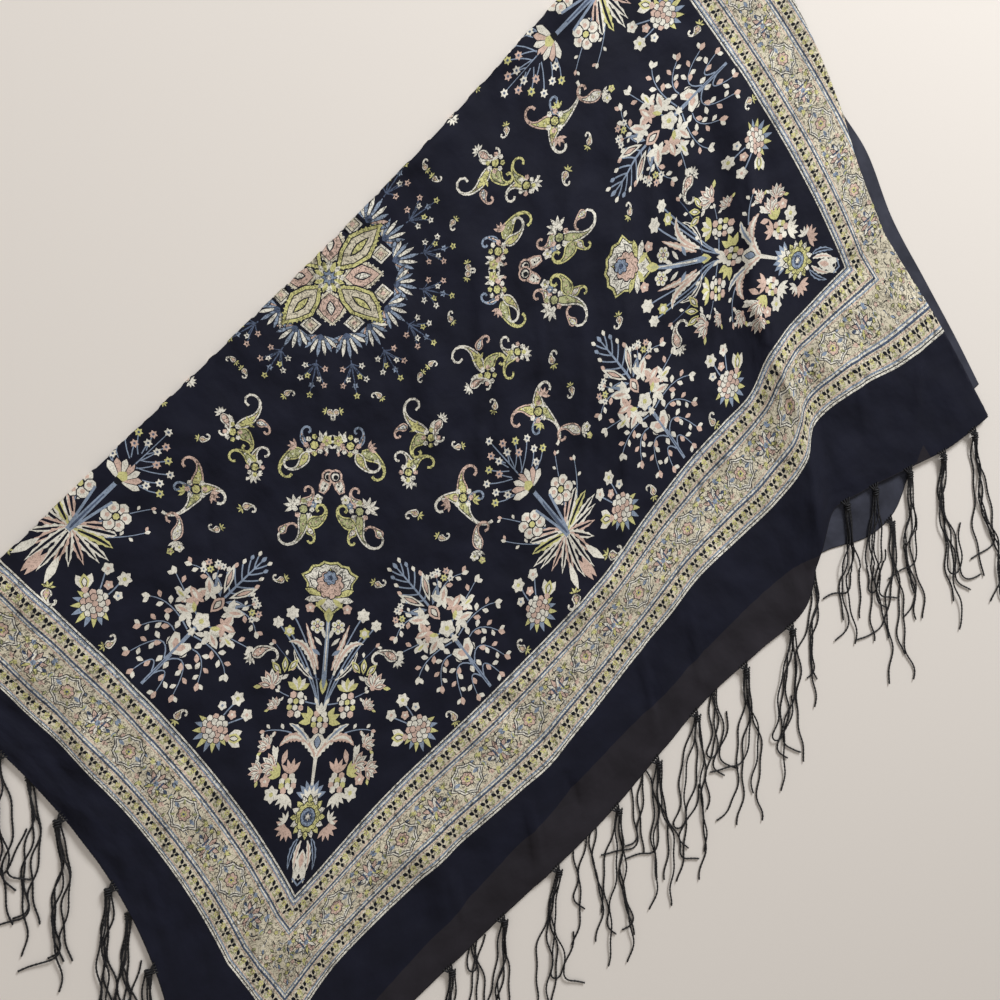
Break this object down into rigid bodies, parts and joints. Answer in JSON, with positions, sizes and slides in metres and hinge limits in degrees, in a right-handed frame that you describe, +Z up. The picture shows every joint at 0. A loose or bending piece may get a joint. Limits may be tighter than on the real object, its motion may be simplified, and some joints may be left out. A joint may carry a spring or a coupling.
{
  "type": "paisley scarf",
  "caption": "Square printed scarf with a floral and paisley panel, a patterned border and knotted cord fringe, folded once and laid flat",
  "frame": {"origin": "middle of the base of the bounding box, on the surface that the scarf lies on", "axes": "+X along the fold toward the turned-in side, +Y from the long hem to the fold, +Z up from the surface"},
  "size_m": [1.1236, 0.7176, 0.0139],
  "materials": {
    "printed_cloth": "thin matte woven cotton and silk, dark navy with a printed pattern in cream, yellow, blue and pink",
    "plain_cloth": "thin sheer woven cotton and silk, plain dark navy",
    "fringe_cord": "twisted black cord with a slight sheen"
  },
  "bodies": {
    "root": {"upper_layer": "printed_cloth", "under_layer": "plain_cloth", "tucked_side": "plain_cloth", "upper_long_fringe": "fringe_cord", "under_long_fringe": "fringe_cord", "upper_left_fringe": "fringe_cord", "under_left_fringe": "fringe_cord"}
  },
  "joints": []
}
